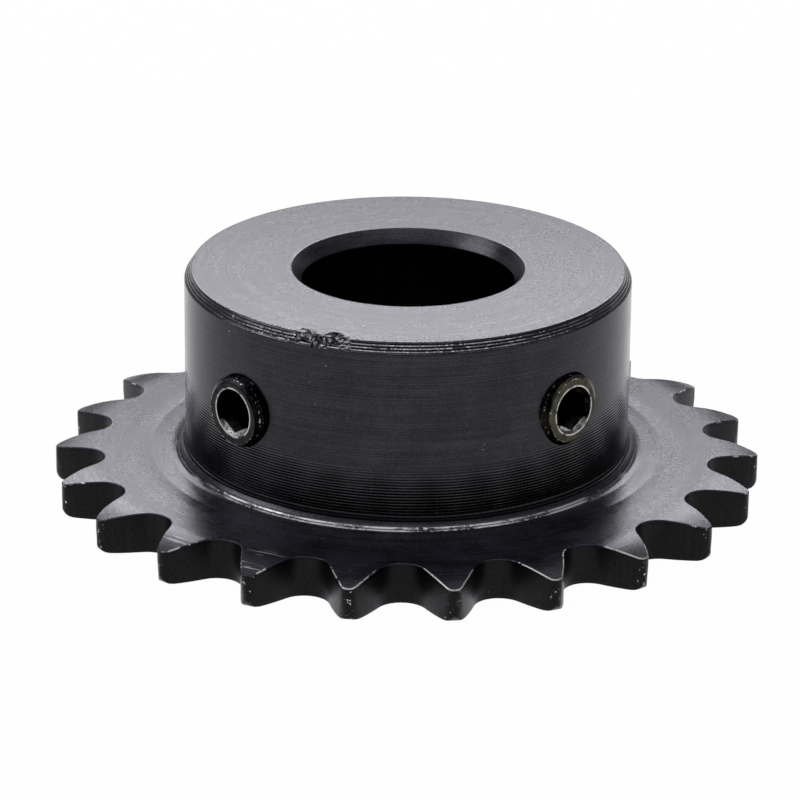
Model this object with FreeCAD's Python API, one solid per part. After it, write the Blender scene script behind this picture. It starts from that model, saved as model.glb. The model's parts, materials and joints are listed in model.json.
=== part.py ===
import FreeCAD, Part
import math
import os

# A small roller-chain sprocket with a hub on one side, lying on its plate with the hub up.
# All lengths are in millimetres and angles in degrees. Z is the bore axis and z = 0 is the plate's
# flat underside. A gap between two teeth is centred on -Y.

# Chain that the teeth fit
chain_pitch = 6.35
roller_diameter = 3.30

# Teeth: number, height and form, with a long relief on the hub side and a short chamfer below
tooth_count = 22
tip_factor = 0.6
seat_factor = 0.505
seating_angle = 121.0
flank_radius = 14.0
relief_radius = 8.5
relief_depth = 0.52
lower_chamfer = 0.35

# Plate, hub and bore
plate_thickness = 2.80
hub_diameter = 30.14
hub_projection = 12.85
bore_diameter = 14.30
foot_radius = 1.10
hub_chamfer_width = 0.47
hub_chamfer_height = 0.69
bore_chamfer_width = 0.71
bore_chamfer_height = 0.93
back_chamfer = 0.40

# Set screws: where they stand in the hub, seen from the gap on -Y
screw_turn = -0.25
screw_spread = 91.0
left_screw_rise = 6.41
right_screw_rise = 6.87
left_screw_stand_out = 0.71
right_screw_stand_out = 0.49

# Set screws: their own form, with a hex socket and a cup point
screw_diameter = 4.80
screw_over_wall = 0.08
thread_clearance = 0.05
hole_chamfer = 0.05
rim_chamfer_width = 0.20
rim_chamfer_height = 0.25
socket_width = 2.5
socket_depth = 3.0
socket_chamfer = 0.15
drill_point_angle = 120.0
cup_diameter = 2.5
cup_depth = 0.55

# Worked out from the sizes above
pitch_radius = chain_pitch / 2 / math.sin(math.pi / tooth_count)
tip_radius = chain_pitch / 2 * (tip_factor + 1 / math.tan(math.pi / tooth_count))
seat_radius = seat_factor * roller_diameter
hub_radius = hub_diameter / 2
bore_radius = bore_diameter / 2
total_height = plate_thickness + hub_projection
screw_radius = screw_diameter / 2
hole_radius = screw_radius + thread_clearance
screw_length = hub_radius - bore_radius + screw_over_wall
socket_corner = socket_width / math.sqrt(3)

UP = FreeCAD.Vector(0, 0, 1)
OUT = FreeCAD.Vector(1, 0, 0)
CENTRE = FreeCAD.Vector(0, 0, 0)
BEYOND = 2.0


def line(a, b):
    return Part.LineSegment(a, b).toShape()


def arc(a, middle, b):
    return Part.Arc(a, middle, b).toShape()


def on_circle(centre, radius, degrees, flat=False):
    """A point on a circle in the X-Z plane, or in the X-Y plane when flat."""
    turn = math.radians(degrees)
    if flat:
        return centre + FreeCAD.Vector(math.cos(turn), math.sin(turn), 0) * radius
    return centre + FreeCAD.Vector(math.cos(turn), 0, math.sin(turn)) * radius


def revolved(edges, axis):
    return Part.Face(Part.Wire(edges)).revolve(CENTRE, axis, 360)


def turned_blank():
    """The body as it leaves the lathe: plate, relieved rim, foot fillet, hub and bore."""
    relief_turn = math.degrees(math.acos(1 - relief_depth / relief_radius))
    relief_start = tip_radius - relief_radius * math.sin(math.radians(relief_turn))
    relief_centre = FreeCAD.Vector(relief_start, 0, plate_thickness - relief_radius)
    foot_centre = FreeCAD.Vector(hub_radius + foot_radius, 0, plate_thickness + foot_radius)

    underside_in = FreeCAD.Vector(bore_radius + back_chamfer, 0, 0)
    underside_out = FreeCAD.Vector(tip_radius - lower_chamfer, 0, 0)
    lower_tip = FreeCAD.Vector(tip_radius, 0, lower_chamfer)
    upper_tip = FreeCAD.Vector(tip_radius, 0, plate_thickness - relief_depth)
    plate_out = FreeCAD.Vector(relief_start, 0, plate_thickness)
    foot_out = FreeCAD.Vector(hub_radius + foot_radius, 0, plate_thickness)
    foot_in = FreeCAD.Vector(hub_radius, 0, plate_thickness + foot_radius)
    hub_edge = FreeCAD.Vector(hub_radius, 0, total_height - hub_chamfer_height)
    hub_top_out = FreeCAD.Vector(hub_radius - hub_chamfer_width, 0, total_height)
    hub_top_in = FreeCAD.Vector(bore_radius + bore_chamfer_width, 0, total_height)
    bore_top = FreeCAD.Vector(bore_radius, 0, total_height - bore_chamfer_height)
    bore_bottom = FreeCAD.Vector(bore_radius, 0, back_chamfer)

    outline = [
        line(underside_in, underside_out),
        line(underside_out, lower_tip),
        line(lower_tip, upper_tip),
        arc(upper_tip, on_circle(relief_centre, relief_radius, 90 - relief_turn / 2), plate_out),
        line(plate_out, foot_out),
        arc(foot_out, on_circle(foot_centre, foot_radius, 225), foot_in),
        line(foot_in, hub_edge),
        line(hub_edge, hub_top_out),
        line(hub_top_out, hub_top_in),
        line(hub_top_in, bore_top),
        line(bore_top, bore_bottom),
        line(bore_bottom, underside_in),
    ]
    return revolved(outline, UP)


def tooth_gap():
    """The space between two teeth, on the +X side: the roller's seat and the two curved flanks."""
    half = seating_angle / 2
    clear_of_tips = tip_radius + BEYOND / 10
    seat_centre = OUT * pitch_radius
    seat_bottom = on_circle(seat_centre, seat_radius, 180, flat=True)
    contact = on_circle(seat_centre, seat_radius, 180 - half, flat=True)
    flank_centre = on_circle(seat_centre, seat_radius + flank_radius, 180 - half, flat=True)

    # The flank runs from the roller's contact point until it is clear of the tip circle
    span = flank_centre.Length
    cosine = (span ** 2 + flank_radius ** 2 - clear_of_tips ** 2) / (2 * span * flank_radius)
    to_centre = math.degrees(math.atan2(-flank_centre.y, -flank_centre.x))
    flank_start = -half
    flank_end = to_centre + math.degrees(math.acos(cosine))
    flank_middle = on_circle(flank_centre, flank_radius, (flank_start + flank_end) / 2, flat=True)
    flank_out = on_circle(flank_centre, flank_radius, flank_end, flat=True)
    mouth = FreeCAD.Vector(tip_radius + BEYOND, flank_out.y, 0)

    def mirrored(p):
        return FreeCAD.Vector(p.x, -p.y, p.z)

    outline = Part.Wire([
        arc(mirrored(contact), seat_bottom, contact),
        arc(contact, flank_middle, flank_out),
        line(flank_out, mouth),
        line(mouth, mirrored(mouth)),
        line(mirrored(mouth), mirrored(flank_out)),
        arc(mirrored(flank_out), mirrored(flank_middle), mirrored(contact)),
    ])
    prism = Part.Face(outline).extrude(UP * (plate_thickness + 2 * BEYOND))
    prism.translate(UP * -BEYOND)
    return prism


def toothed(blank):
    """The blank with its gaps cut all round, starting from the one on -Y."""
    first = tooth_gap()
    gaps = []
    for number in range(tooth_count):
        gap = first.copy()
        gap.rotate(CENTRE, UP, -90 + number * 360 / tooth_count)
        gaps.append(gap)
    return blank.cut(gaps)


def at_screw(shape, side, rise):
    """Takes a shape made out along +X to its place in the hub; side is -1 for left, 1 for right."""
    placed = shape.copy()
    placed.rotate(CENTRE, UP, -90 + screw_turn + side * screw_spread / 2)
    placed.translate(UP * (plate_thickness + rise))
    return placed


def screw_hole():
    """A tapped hole from the bore out through the hub, its thread left plain and its mouth broken."""
    drill = Part.makeCylinder(hole_radius, hub_radius + BEYOND, CENTRE, OUT)
    mouth_at = OUT * (hub_radius - hole_chamfer)
    mouth_depth = hole_chamfer + BEYOND
    mouth = Part.makeCone(hole_radius, hole_radius + mouth_depth, mouth_depth, mouth_at, OUT)
    return drill.fuse(mouth)


def hex_socket(face_at):
    """The socket's cutter: a hexagon, the drilled point below it and the broken edge at its mouth."""
    floor_at = face_at - socket_depth
    corners = []
    for number in range(7):
        turn = math.radians(60 * number + 30)
        across = FreeCAD.Vector(0, math.cos(turn), math.sin(turn)) * socket_corner
        corners.append(OUT * floor_at + across)
    hexagon = Part.Face(Part.makePolygon(corners)).extrude(OUT * (socket_depth + BEYOND))
    drill_radius = socket_width / 2
    point_depth = drill_radius / math.tan(math.radians(drill_point_angle / 2))
    drilled = Part.makeCone(drill_radius, 0, point_depth, OUT * floor_at, OUT * -1)
    broken_depth = socket_chamfer + BEYOND
    broken_at = OUT * (face_at - socket_chamfer)
    broken = Part.makeCone(socket_corner, socket_corner + broken_depth, broken_depth, broken_at, OUT)
    return hexagon.fuse([drilled, broken])


def set_screw(stand_out):
    """A set screw along +X: chamfered rim, plain shank in place of the thread, cup point."""
    face_at = hub_radius + stand_out
    tip_at = face_at - screw_length
    cup_radius = cup_diameter / 2
    corners = [
        FreeCAD.Vector(face_at, 0, 0),
        FreeCAD.Vector(face_at, screw_radius - rim_chamfer_width, 0),
        FreeCAD.Vector(face_at - rim_chamfer_height, screw_radius, 0),
        FreeCAD.Vector(tip_at + screw_radius - cup_radius, screw_radius, 0),
        FreeCAD.Vector(tip_at, cup_radius, 0),
        FreeCAD.Vector(tip_at + cup_depth, 0, 0),
    ]
    outline = [line(a, b) for a, b in zip(corners, corners[1:] + corners[:1])]
    return revolved(outline, OUT).cut(hex_socket(face_at))


def sprocket_body():
    """Hub and toothed plate in one piece, with the two screw holes."""
    hole = screw_hole()
    holes = [at_screw(hole, -1, left_screw_rise), at_screw(hole, 1, right_screw_rise)]
    return toothed(turned_blank()).cut(holes)


def save(shape, node):
    solid = shape.Solids[0]
    print(node, "solids", len(shape.Solids), "valid", solid.isValid(), "volume", round(solid.Volume, 2))
    solid.exportStep("parts/" + node + ".step")


os.makedirs("parts", exist_ok=True)
save(sprocket_body(), "sprocket_body")
save(at_screw(set_screw(left_screw_stand_out), -1, left_screw_rise), "set_screw_left")
save(at_screw(set_screw(right_screw_stand_out), 1, right_screw_rise), "set_screw_right")
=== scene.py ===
import json
import math
import random

import bmesh
import bpy
from bpy.props import FloatProperty, FloatVectorProperty, IntProperty, PointerProperty
from mathutils import Matrix, Vector, noise


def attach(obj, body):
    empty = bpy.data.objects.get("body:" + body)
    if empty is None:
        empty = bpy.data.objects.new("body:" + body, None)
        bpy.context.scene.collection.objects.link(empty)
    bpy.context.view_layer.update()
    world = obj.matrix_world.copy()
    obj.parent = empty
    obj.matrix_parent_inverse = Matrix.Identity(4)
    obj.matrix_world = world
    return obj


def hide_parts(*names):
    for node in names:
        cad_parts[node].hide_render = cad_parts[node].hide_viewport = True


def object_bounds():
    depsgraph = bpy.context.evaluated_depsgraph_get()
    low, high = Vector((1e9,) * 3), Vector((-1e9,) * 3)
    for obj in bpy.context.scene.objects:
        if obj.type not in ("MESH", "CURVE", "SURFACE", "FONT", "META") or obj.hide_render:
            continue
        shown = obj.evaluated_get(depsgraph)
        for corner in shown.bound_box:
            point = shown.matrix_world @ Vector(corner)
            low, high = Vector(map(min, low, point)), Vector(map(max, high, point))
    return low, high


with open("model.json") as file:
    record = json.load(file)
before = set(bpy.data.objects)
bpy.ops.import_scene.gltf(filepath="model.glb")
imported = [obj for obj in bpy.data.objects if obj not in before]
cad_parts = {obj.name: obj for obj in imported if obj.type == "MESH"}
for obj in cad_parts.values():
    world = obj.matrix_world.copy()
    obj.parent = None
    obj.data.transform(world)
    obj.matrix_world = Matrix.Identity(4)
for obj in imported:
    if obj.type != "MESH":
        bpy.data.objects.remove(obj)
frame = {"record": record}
cad_low, cad_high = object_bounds()
mounts = {mount["name"]: mount for mount in frame["record"]["mounts"]}

# A small roller-chain sprocket: a toothed plate with a hub on one side, and two set screws in the hub.
# The hub's axis is Z, the plate lies on z = 0, and a gap between two teeth is centred on -Y.

bl_info = {
    "name": "Chain sprocket",
    "version": (1, 0, 0),
    "blender": (4, 5, 0),
    "location": "3D View > Sidebar > Sprocket",
    "description": "A roller-chain sprocket with a one-sided hub and two set screws, ready to render",
    "category": "Object",
}

MM = 0.001
ROOT = "root"
BODY = "sprocket_body"
SCREWS = (("set_screw_left", -1), ("set_screw_right", 1))


# Sizes, colours and stage settings that can be changed in the sidebar

class SprocketSizes(bpy.types.PropertyGroup):
    """The body's sizes, in metres."""

    tooth_count: IntProperty(
        name="Teeth", description="Number of teeth round the plate", default=22, min=8)
    chain_pitch: FloatProperty(
        name="Chain pitch", description="Distance between two rollers of the chain",
        default=6.35 * MM, unit="LENGTH", precision=5)
    seat_radius: FloatProperty(
        name="Seat radius", description="Radius of the curve that a roller sits in",
        default=1.6665 * MM, unit="LENGTH", precision=5)
    seating_angle: FloatProperty(
        name="Seating angle", description="How far the roller's curve wraps round it",
        default=math.radians(121.0), subtype="ANGLE")
    flank_radius: FloatProperty(
        name="Flank radius", description="Radius of a tooth's curved side above the roller",
        default=14.0 * MM, unit="LENGTH", precision=5)
    tip_radius: FloatProperty(
        name="Tip radius", description="Distance from the axis to the ends of the teeth",
        default=cad_high.x, unit="LENGTH", precision=5)
    tip_corner: FloatProperty(
        name="Tip corner", description="How far the corners of a tooth's end are rounded",
        default=0.33 * MM, unit="LENGTH", precision=5)
    relief_radius: FloatProperty(
        name="Relief radius", description="Radius of the long curve on the upper side of the teeth",
        default=8.5 * MM, unit="LENGTH", precision=5)
    relief_depth: FloatProperty(
        name="Relief depth", description="How far that curve has dropped at the tip",
        default=0.52 * MM, unit="LENGTH", precision=5)
    lower_round: FloatProperty(
        name="Lower round", description="Radius of the round below the ends of the teeth",
        default=0.55 * MM, unit="LENGTH", precision=5)
    plate_thickness: FloatProperty(
        name="Plate thickness", description="Thickness of the toothed plate",
        default=2.8 * MM, unit="LENGTH", precision=5)
    hub_radius: FloatProperty(
        name="Hub radius", description="Outer radius of the hub",
        default=15.07 * MM, unit="LENGTH", precision=5)
    total_height: FloatProperty(
        name="Total height", description="Height of the hub's end above the plate's underside",
        default=cad_high.z, unit="LENGTH", precision=5)
    bore_radius: FloatProperty(
        name="Bore radius", description="Radius of the shaft's hole",
        default=mounts["bore"]["dims"]["r_mm"] * MM, unit="LENGTH", precision=5)
    foot_radius: FloatProperty(
        name="Foot fillet", description="Radius of the fillet between hub and plate",
        default=1.1 * MM, unit="LENGTH", precision=5)
    hub_chamfer_width: FloatProperty(
        name="Hub chamfer width", description="Width of the chamfer on the hub's end, across the axis",
        default=0.47 * MM, unit="LENGTH", precision=5)
    hub_chamfer_height: FloatProperty(
        name="Hub chamfer height", description="Height of the chamfer on the hub's end, along the axis",
        default=0.69 * MM, unit="LENGTH", precision=5)
    bore_chamfer_width: FloatProperty(
        name="Bore chamfer width", description="Width of the chamfer round the bore",
        default=0.71 * MM, unit="LENGTH", precision=5)
    bore_chamfer_height: FloatProperty(
        name="Bore chamfer height", description="Height of the chamfer round the bore",
        default=0.93 * MM, unit="LENGTH", precision=5)
    back_chamfer: FloatProperty(
        name="Back chamfer", description="Size of the chamfer round the bore on the plate's side",
        default=0.4 * MM, unit="LENGTH", precision=5)
    edge_break: FloatProperty(
        name="Edge break", description="How far the turned edges are rounded",
        default=0.05 * MM, unit="LENGTH", precision=5)
    tooth_edge_break: FloatProperty(
        name="Tooth edge break", description="How far the edges of the teeth are worn round",
        default=0.08 * MM, unit="LENGTH", precision=5)
    ring_depth: FloatProperty(
        name="Tool ring depth", description="Depth of the turned rings on the hub's chamfer and foot",
        default=0.03 * MM, unit="LENGTH", precision=6)


class SetScrewSizes(bpy.types.PropertyGroup):
    """The set screws' sizes and places, in metres and radians."""

    radius: FloatProperty(
        name="Thread radius", description="Outer radius of the screw's thread",
        default=2.4 * MM, unit="LENGTH", precision=5)
    thread_pitch: FloatProperty(
        name="Thread pitch", description="Distance between two turns of the thread",
        default=0.8 * MM, unit="LENGTH", precision=5)
    thread_depth: FloatProperty(
        name="Thread depth", description="Depth of the thread",
        default=0.42 * MM, unit="LENGTH", precision=5)
    thread_clearance: FloatProperty(
        name="Thread clearance", description="Gap between the screw's thread and the hole's",
        default=0.05 * MM, unit="LENGTH", precision=5)
    mouth_chamfer: FloatProperty(
        name="Mouth chamfer", description="Size of the broken edge at the hole's mouth",
        default=0.07 * MM, unit="LENGTH", precision=5)
    length: FloatProperty(
        name="Length", description="Length of the screw", default=8.0 * MM, unit="LENGTH", precision=5)
    left_rise: FloatProperty(
        name="Left rise", description="Height of the left screw above the plate",
        default=6.41 * MM, unit="LENGTH", precision=5)
    right_rise: FloatProperty(
        name="Right rise", description="Height of the right screw above the plate",
        default=6.87 * MM, unit="LENGTH", precision=5)
    left_stand_out: FloatProperty(
        name="Left stand-out", description="How far the left screw stands out of the hub",
        default=0.71 * MM, unit="LENGTH", precision=5)
    right_stand_out: FloatProperty(
        name="Right stand-out", description="How far the right screw stands out of the hub",
        default=0.49 * MM, unit="LENGTH", precision=5)
    spread: FloatProperty(
        name="Spread", description="Angle between the two screws",
        default=math.radians(91.0), subtype="ANGLE")
    turn: FloatProperty(
        name="Turn", description="Turn of the pair away from the middle of the front gap",
        default=math.radians(-0.25), subtype="ANGLE")
    socket_width: FloatProperty(
        name="Socket width", description="Width of the hexagon across its flats",
        default=2.5 * MM, unit="LENGTH", precision=5)
    socket_depth: FloatProperty(
        name="Socket depth", description="Depth of the hexagon",
        default=3.0 * MM, unit="LENGTH", precision=5)
    socket_chamfer: FloatProperty(
        name="Socket chamfer", description="Size of the broken edge at the socket's mouth",
        default=0.18 * MM, unit="LENGTH", precision=5)
    rim_chamfer_width: FloatProperty(
        name="Rim chamfer width", description="Width of the chamfer round the screw's face",
        default=0.2 * MM, unit="LENGTH", precision=5)
    rim_chamfer_height: FloatProperty(
        name="Rim chamfer height", description="Height of the chamfer round the screw's face",
        default=0.25 * MM, unit="LENGTH", precision=5)
    cup_radius: FloatProperty(
        name="Cup radius", description="Radius of the sharp ring at the screw's inner end",
        default=1.25 * MM, unit="LENGTH", precision=5)
    cup_depth: FloatProperty(
        name="Cup depth", description="Depth of the hollow in the screw's inner end",
        default=0.55 * MM, unit="LENGTH", precision=5)


class FinishColours(bpy.types.PropertyGroup):
    """The colours of the metal's finishes."""

    oxide: FloatVectorProperty(
        name="Black oxide", description="The blackened steel of the body",
        default=(0.0088, 0.0080, 0.0112), subtype="COLOR", min=0.0, max=1.0)
    oxide_thin: FloatVectorProperty(
        name="Thin oxide", description="Blackened steel where the finish is rubbed thin",
        default=(0.042, 0.038, 0.053), subtype="COLOR", min=0.0, max=1.0)
    bare: FloatVectorProperty(
        name="Bare steel", description="Steel where the finish is chipped or worn off",
        default=(0.56, 0.55, 0.54), subtype="COLOR", min=0.0, max=1.0)
    screw: FloatVectorProperty(
        name="Screw steel", description="The dark steel of the left set screw",
        default=(0.032, 0.031, 0.037), subtype="COLOR", min=0.0, max=1.0)
    screw_olive: FloatVectorProperty(
        name="Olive screw steel", description="The olive-tinted steel of the right set screw",
        default=(0.085, 0.08, 0.055), subtype="COLOR", min=0.0, max=1.0)


class StageSettings(bpy.types.PropertyGroup):
    """Camera, lamps and floor."""

    camera_distance: FloatProperty(
        name="Camera distance", description="Distance from the camera to the origin",
        default=0.31381, unit="LENGTH", precision=5)
    camera_elevation: FloatProperty(
        name="Camera elevation", description="Angle of the camera above the floor",
        default=math.radians(22.322), subtype="ANGLE")
    camera_turn: FloatProperty(
        name="Camera turn", description="Angle of the camera round the axis, from -Y",
        default=math.radians(0.567), subtype="ANGLE")
    camera_aim: FloatVectorProperty(
        name="Camera aim", description="The point that the camera looks at",
        default=(-0.47 * MM, 0.0, 5.975 * MM), subtype="TRANSLATION", precision=5)
    camera_roll: FloatProperty(
        name="Camera roll", description="Tilt of the camera about its line of sight",
        default=math.radians(0.502), subtype="ANGLE")
    lens: FloatProperty(name="Lens", description="Focal length in millimetres", default=205.95)
    floor_size: FloatProperty(
        name="Floor size", description="Width of the floor", default=6.0, unit="LENGTH")
    top_light: FloatProperty(
        name="Top light", description="Power of the soft lamp overhead, in watts", default=0.3)
    back_light: FloatProperty(
        name="Back light", description="Power of the soft lamp behind the object, in watts", default=0.3)
    left_light: FloatProperty(
        name="Left light", description="Power of the soft lamp on the left, in watts", default=0.6)
    fill: FloatProperty(
        name="Fill", description="Strength of the even light from all round", default=0.5)
    light_colour: FloatVectorProperty(
        name="Light colour", description="Colour of the lamps and of the room's light",
        default=(0.955, 0.948, 1.0), subtype="COLOR", min=0.0, max=1.0)
    room_grey: FloatProperty(
        name="Room grey", description="How bright the metal sees the room in front and overhead",
        default=0.55)
    low_band_grey: FloatProperty(
        name="Low band grey",
        description="How bright the metal sees the band just above the floor's far edge",
        default=0.22)


# Mesh helpers

MERGE_DISTANCE = 0.0005 * MM
SHARP_ANGLE = math.radians(28)


def direction(turn):
    """A flat vector of length 1 at an angle from +X."""
    return Vector((math.cos(turn), math.sin(turn)))


def polar(radius, turn, height):
    """A place by its distance from the hub's axis, its angle from the front and its height."""
    return Vector((radius * math.sin(turn), -radius * math.cos(turn), height))


def new_piece(name, bm, materials):
    """Makes an object at the origin from a bmesh, with its doubled points merged and its faces turned
    outwards.
    """
    bmesh.ops.remove_doubles(bm, verts=bm.verts, dist=MERGE_DISTANCE)
    bmesh.ops.recalc_face_normals(bm, faces=bm.faces)
    mesh = bpy.data.meshes.new(name)
    bm.to_mesh(mesh)
    bm.free()
    for material in materials:
        mesh.materials.append(material)
    piece = bpy.data.objects.new(name, mesh)
    bpy.context.scene.collection.objects.link(piece)
    return piece


def cut_away(piece, cutter, crossing=False):
    """Cuts one object out of another; the cut faces take the cutter's material."""
    modifier = piece.modifiers.new("cut", "BOOLEAN")
    modifier.operation = "DIFFERENCE"
    modifier.solver = "EXACT"
    modifier.use_self = crossing
    modifier.material_mode = "TRANSFER"
    modifier.object = cutter
    graph = bpy.context.evaluated_depsgraph_get()
    cut_mesh = bpy.data.meshes.new_from_object(piece.evaluated_get(graph))
    piece.modifiers.clear()
    piece.data = cut_mesh
    bpy.data.objects.remove(cutter)


def join_in(bm, part, place=None, material_index=0):
    """Adds another bmesh's form to this one."""
    for face in part.faces:
        face.material_index = material_index
    if place is not None:
        part.transform(place)
    mesh = bpy.data.meshes.new("part")
    part.to_mesh(mesh)
    part.free()
    bm.from_mesh(mesh)
    bpy.data.meshes.remove(mesh)


def shade(piece):
    """Smooth shading, broken at sharp edges and weighted towards large faces."""
    piece.data.shade_smooth()
    piece.data.set_sharp_from_angle(angle=SHARP_ANGLE)
    weighted = piece.modifiers.new("weighted normals", "WEIGHTED_NORMAL")
    weighted.keep_sharp = True


def sharpen_round(piece, material):
    """Keeps the shading crisp where faces of one material meet the rest."""
    index = piece.data.materials.find(material.name)
    bm = bmesh.new()
    bm.from_mesh(piece.data)
    for edge in bm.edges:
        sides = {face.material_index == index for face in edge.link_faces}
        if len(sides) == 2:
            edge.smooth = False
    bm.to_mesh(piece.data)
    bm.free()


def finish_piece(piece, slot, *nodes):
    """Says what a piece rides on and hides the frame's nodes that it stands in for; the finish it is given
    is not used.
    """
    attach(piece, ROOT)
    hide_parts(*nodes)


# The sprocket's body

# The order of the body's materials on its turned and milled faces
OXIDE_WALL, OXIDE_FACE, OXIDE_TOOTH, WORN_EDGE, CHAMFER_RING, FOOT_RING = range(6)

# How many steps the outline of the teeth has along each of its stretches
SEAT_STEPS = 5
FLANK_STEPS = 4
CORNER_STEPS = 5
LAND_STEPS = 1

# How much more the teeth's corners are worn at their lower edge, and the share of the plate's
# thickness over which that fades
LOWER_WEAR = 3.2
LOWER_WEAR_HEIGHT = 0.6

# The ring of the plate that the teeth take up, and the narrow rim at their ends that keeps its width
TEETH_ZONE = 4.1 * MM
RIM_ZONE = 0.09 * MM

# Narrow flat borders beside the rounded edges of the hub's end, and the wider ring with finer faces
# that the knocked patch bites into
FACE_BORDER = 0.12 * MM
KNOCK_ZONE = 1.2 * MM

# Turned rings: one in the plate beside the foot, and three across the hub's chamfer with the slopes
# of the crests beside them, whose faces turned up to the light get a rubbed finish that is partly painted
# highlight
PLATE_RING_RADIUS = 17.35 * MM
PLATE_RING_WIDTH = 0.2 * MM
PLATE_RING_DEPTH_SHARE = 0.35
CHAMFER_RING_WIDTH = 0.14 * MM
CHAMFER_RING_PLACES = (0.25, 0.5, 0.75)
CHAMFER_CREST_SLOPES = ((0.82, 0.97), (0.4, 0.52))

# How many segments the foot fillet and the broken edges are rounded with
FOOT_SEGMENTS = 24
EDGE_SEGMENTS = 3

# Two raised marks round the foot fillet: their angles from the hub's wall, how far to each side the
# metal is raised, how wide the band above each is that is rubbed bare and painted as a highlight, and how
# high they stand
FOOT_TOLERANCE = 0.03 * MM
FOOT_MARKS = (math.radians(48.75), math.radians(60.0))
FOOT_MARK_REACH = math.radians(1.9)
FOOT_MARK_WIDTH = math.radians(7.5)
FOOT_MARK_HEIGHT = 0.018 * MM

# The knocked patch on the hub's end: its arc in degrees from the front, how deep and far in it goes,
# the way it sinks, inwards and down, the strength and fineness of its lumps, and how it fades
# inwards, at its ends and downwards
RAGGED_ARC = (-29.5, -14.0)
RAGGED_DEPTH = 0.3 * MM
RAGGED_WAY = (0.6, 0.8)
RAGGED_REACH = 0.9 * MM
RAGGED_LUMPS = ((1.9, 1700), (0.7, 5200))
RAGGED_LEVEL = 0.35
RAGGED_INWARD_FADE = 0.75 / MM
RAGGED_END_FADE = 0.4
RAGGED_END_ARC = 1.5
RAGGED_DOWN_FADE = 2 / MM
RAGGED_DOWN_REACH = 0.25 * MM


def pitch_radius(sizes):
    """Radius of the circle that the rollers' centres lie on."""
    return sizes.chain_pitch / 2 / math.sin(math.pi / sizes.tooth_count)


def tip_edge(sizes):
    """Where a flank meets the tip circle: the flank's centre and its last angle, in the gap's frame."""
    half = sizes.seating_angle / 2
    flank = sizes.flank_radius
    reach = sizes.seat_radius + flank
    centre = Vector((pitch_radius(sizes) - reach * math.cos(half), reach * math.sin(half)))
    span = centre.length
    cosine = (span ** 2 + flank ** 2 - sizes.tip_radius ** 2) / (2 * span * flank)
    return centre, math.atan2(-centre.y, -centre.x) + math.acos(cosine)


def half_gap(sizes, wear):
    """Outline from the bottom of a gap to the middle of the next tooth, as points in the gap's frame.

    The wear says how much further than on the tooth's end its corner is rounded on the flank.
    """
    half = sizes.seating_angle / 2
    seat_centre = Vector((pitch_radius(sizes), 0))
    points = []
    for step in range(SEAT_STEPS):
        turn = math.pi - half * step / SEAT_STEPS
        points.append(seat_centre + direction(turn) * sizes.seat_radius)

    centre, last = tip_edge(sizes)
    eased = last - wear * sizes.tip_corner / sizes.flank_radius
    for step in range(FLANK_STEPS + 1):
        turn = -half + (eased + half) * step / FLANK_STEPS
        points.append(centre + direction(turn) * sizes.flank_radius)

    before = points[-1]
    corner = centre + direction(last) * sizes.flank_radius
    land_turn = math.atan2(corner.y, corner.x) + sizes.tip_corner / sizes.tip_radius
    after = direction(land_turn) * sizes.tip_radius
    for step in range(1, CORNER_STEPS + 1):
        share = step / CORNER_STEPS
        points.append(before * (1 - share) ** 2 + corner * 2 * share * (1 - share) + after * share ** 2)

    middle_turn = math.pi / sizes.tooth_count
    for step in range(1, LAND_STEPS + 1):
        turn = land_turn + (middle_turn - land_turn) * step / LAND_STEPS
        points.append(direction(turn) * sizes.tip_radius)
    return points


def pitch_outline(sizes, wear=1.0):
    """The outline over one pitch, from the middle of a tooth: each point and the way out of the metal."""
    half = half_gap(sizes, wear)
    points = [Vector((p.x, -p.y)) for p in reversed(half)] + half[1:]
    outline = [(points[0], points[0].normalized())]
    for before, point, after in zip(points, points[1:], points[2:]):
        along = after - before
        outline.append((point, Vector((along.y, -along.x)).normalized()))
    outline.append((points[-1], points[-1].normalized()))
    return outline


def relief_start(sizes):
    """Radius at which the plate's upper side starts to fall."""
    turn = math.acos(1 - sizes.relief_depth / sizes.relief_radius)
    return sizes.tip_radius - sizes.relief_radius * math.sin(turn)


def upper_height(sizes, radius):
    """Height of the plate's upper side: flat, then falling along the relief's curve."""
    beyond = max(0.0, radius - relief_start(sizes))
    above_centre = math.sqrt(sizes.relief_radius ** 2 - beyond ** 2)
    return sizes.plate_thickness - sizes.relief_radius + above_centre


def lower_height(sizes, radius):
    """Height of the plate's underside: flat, then rising round the edge below the tips."""
    beyond = min(max(0.0, radius - (sizes.tip_radius - sizes.lower_round)), sizes.lower_round)
    return sizes.lower_round - math.sqrt(sizes.lower_round ** 2 - beyond ** 2)


def teeth_begin(sizes):
    """Radius inside which the plate's rings stay round."""
    return sizes.tip_radius - TEETH_ZONE


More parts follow.
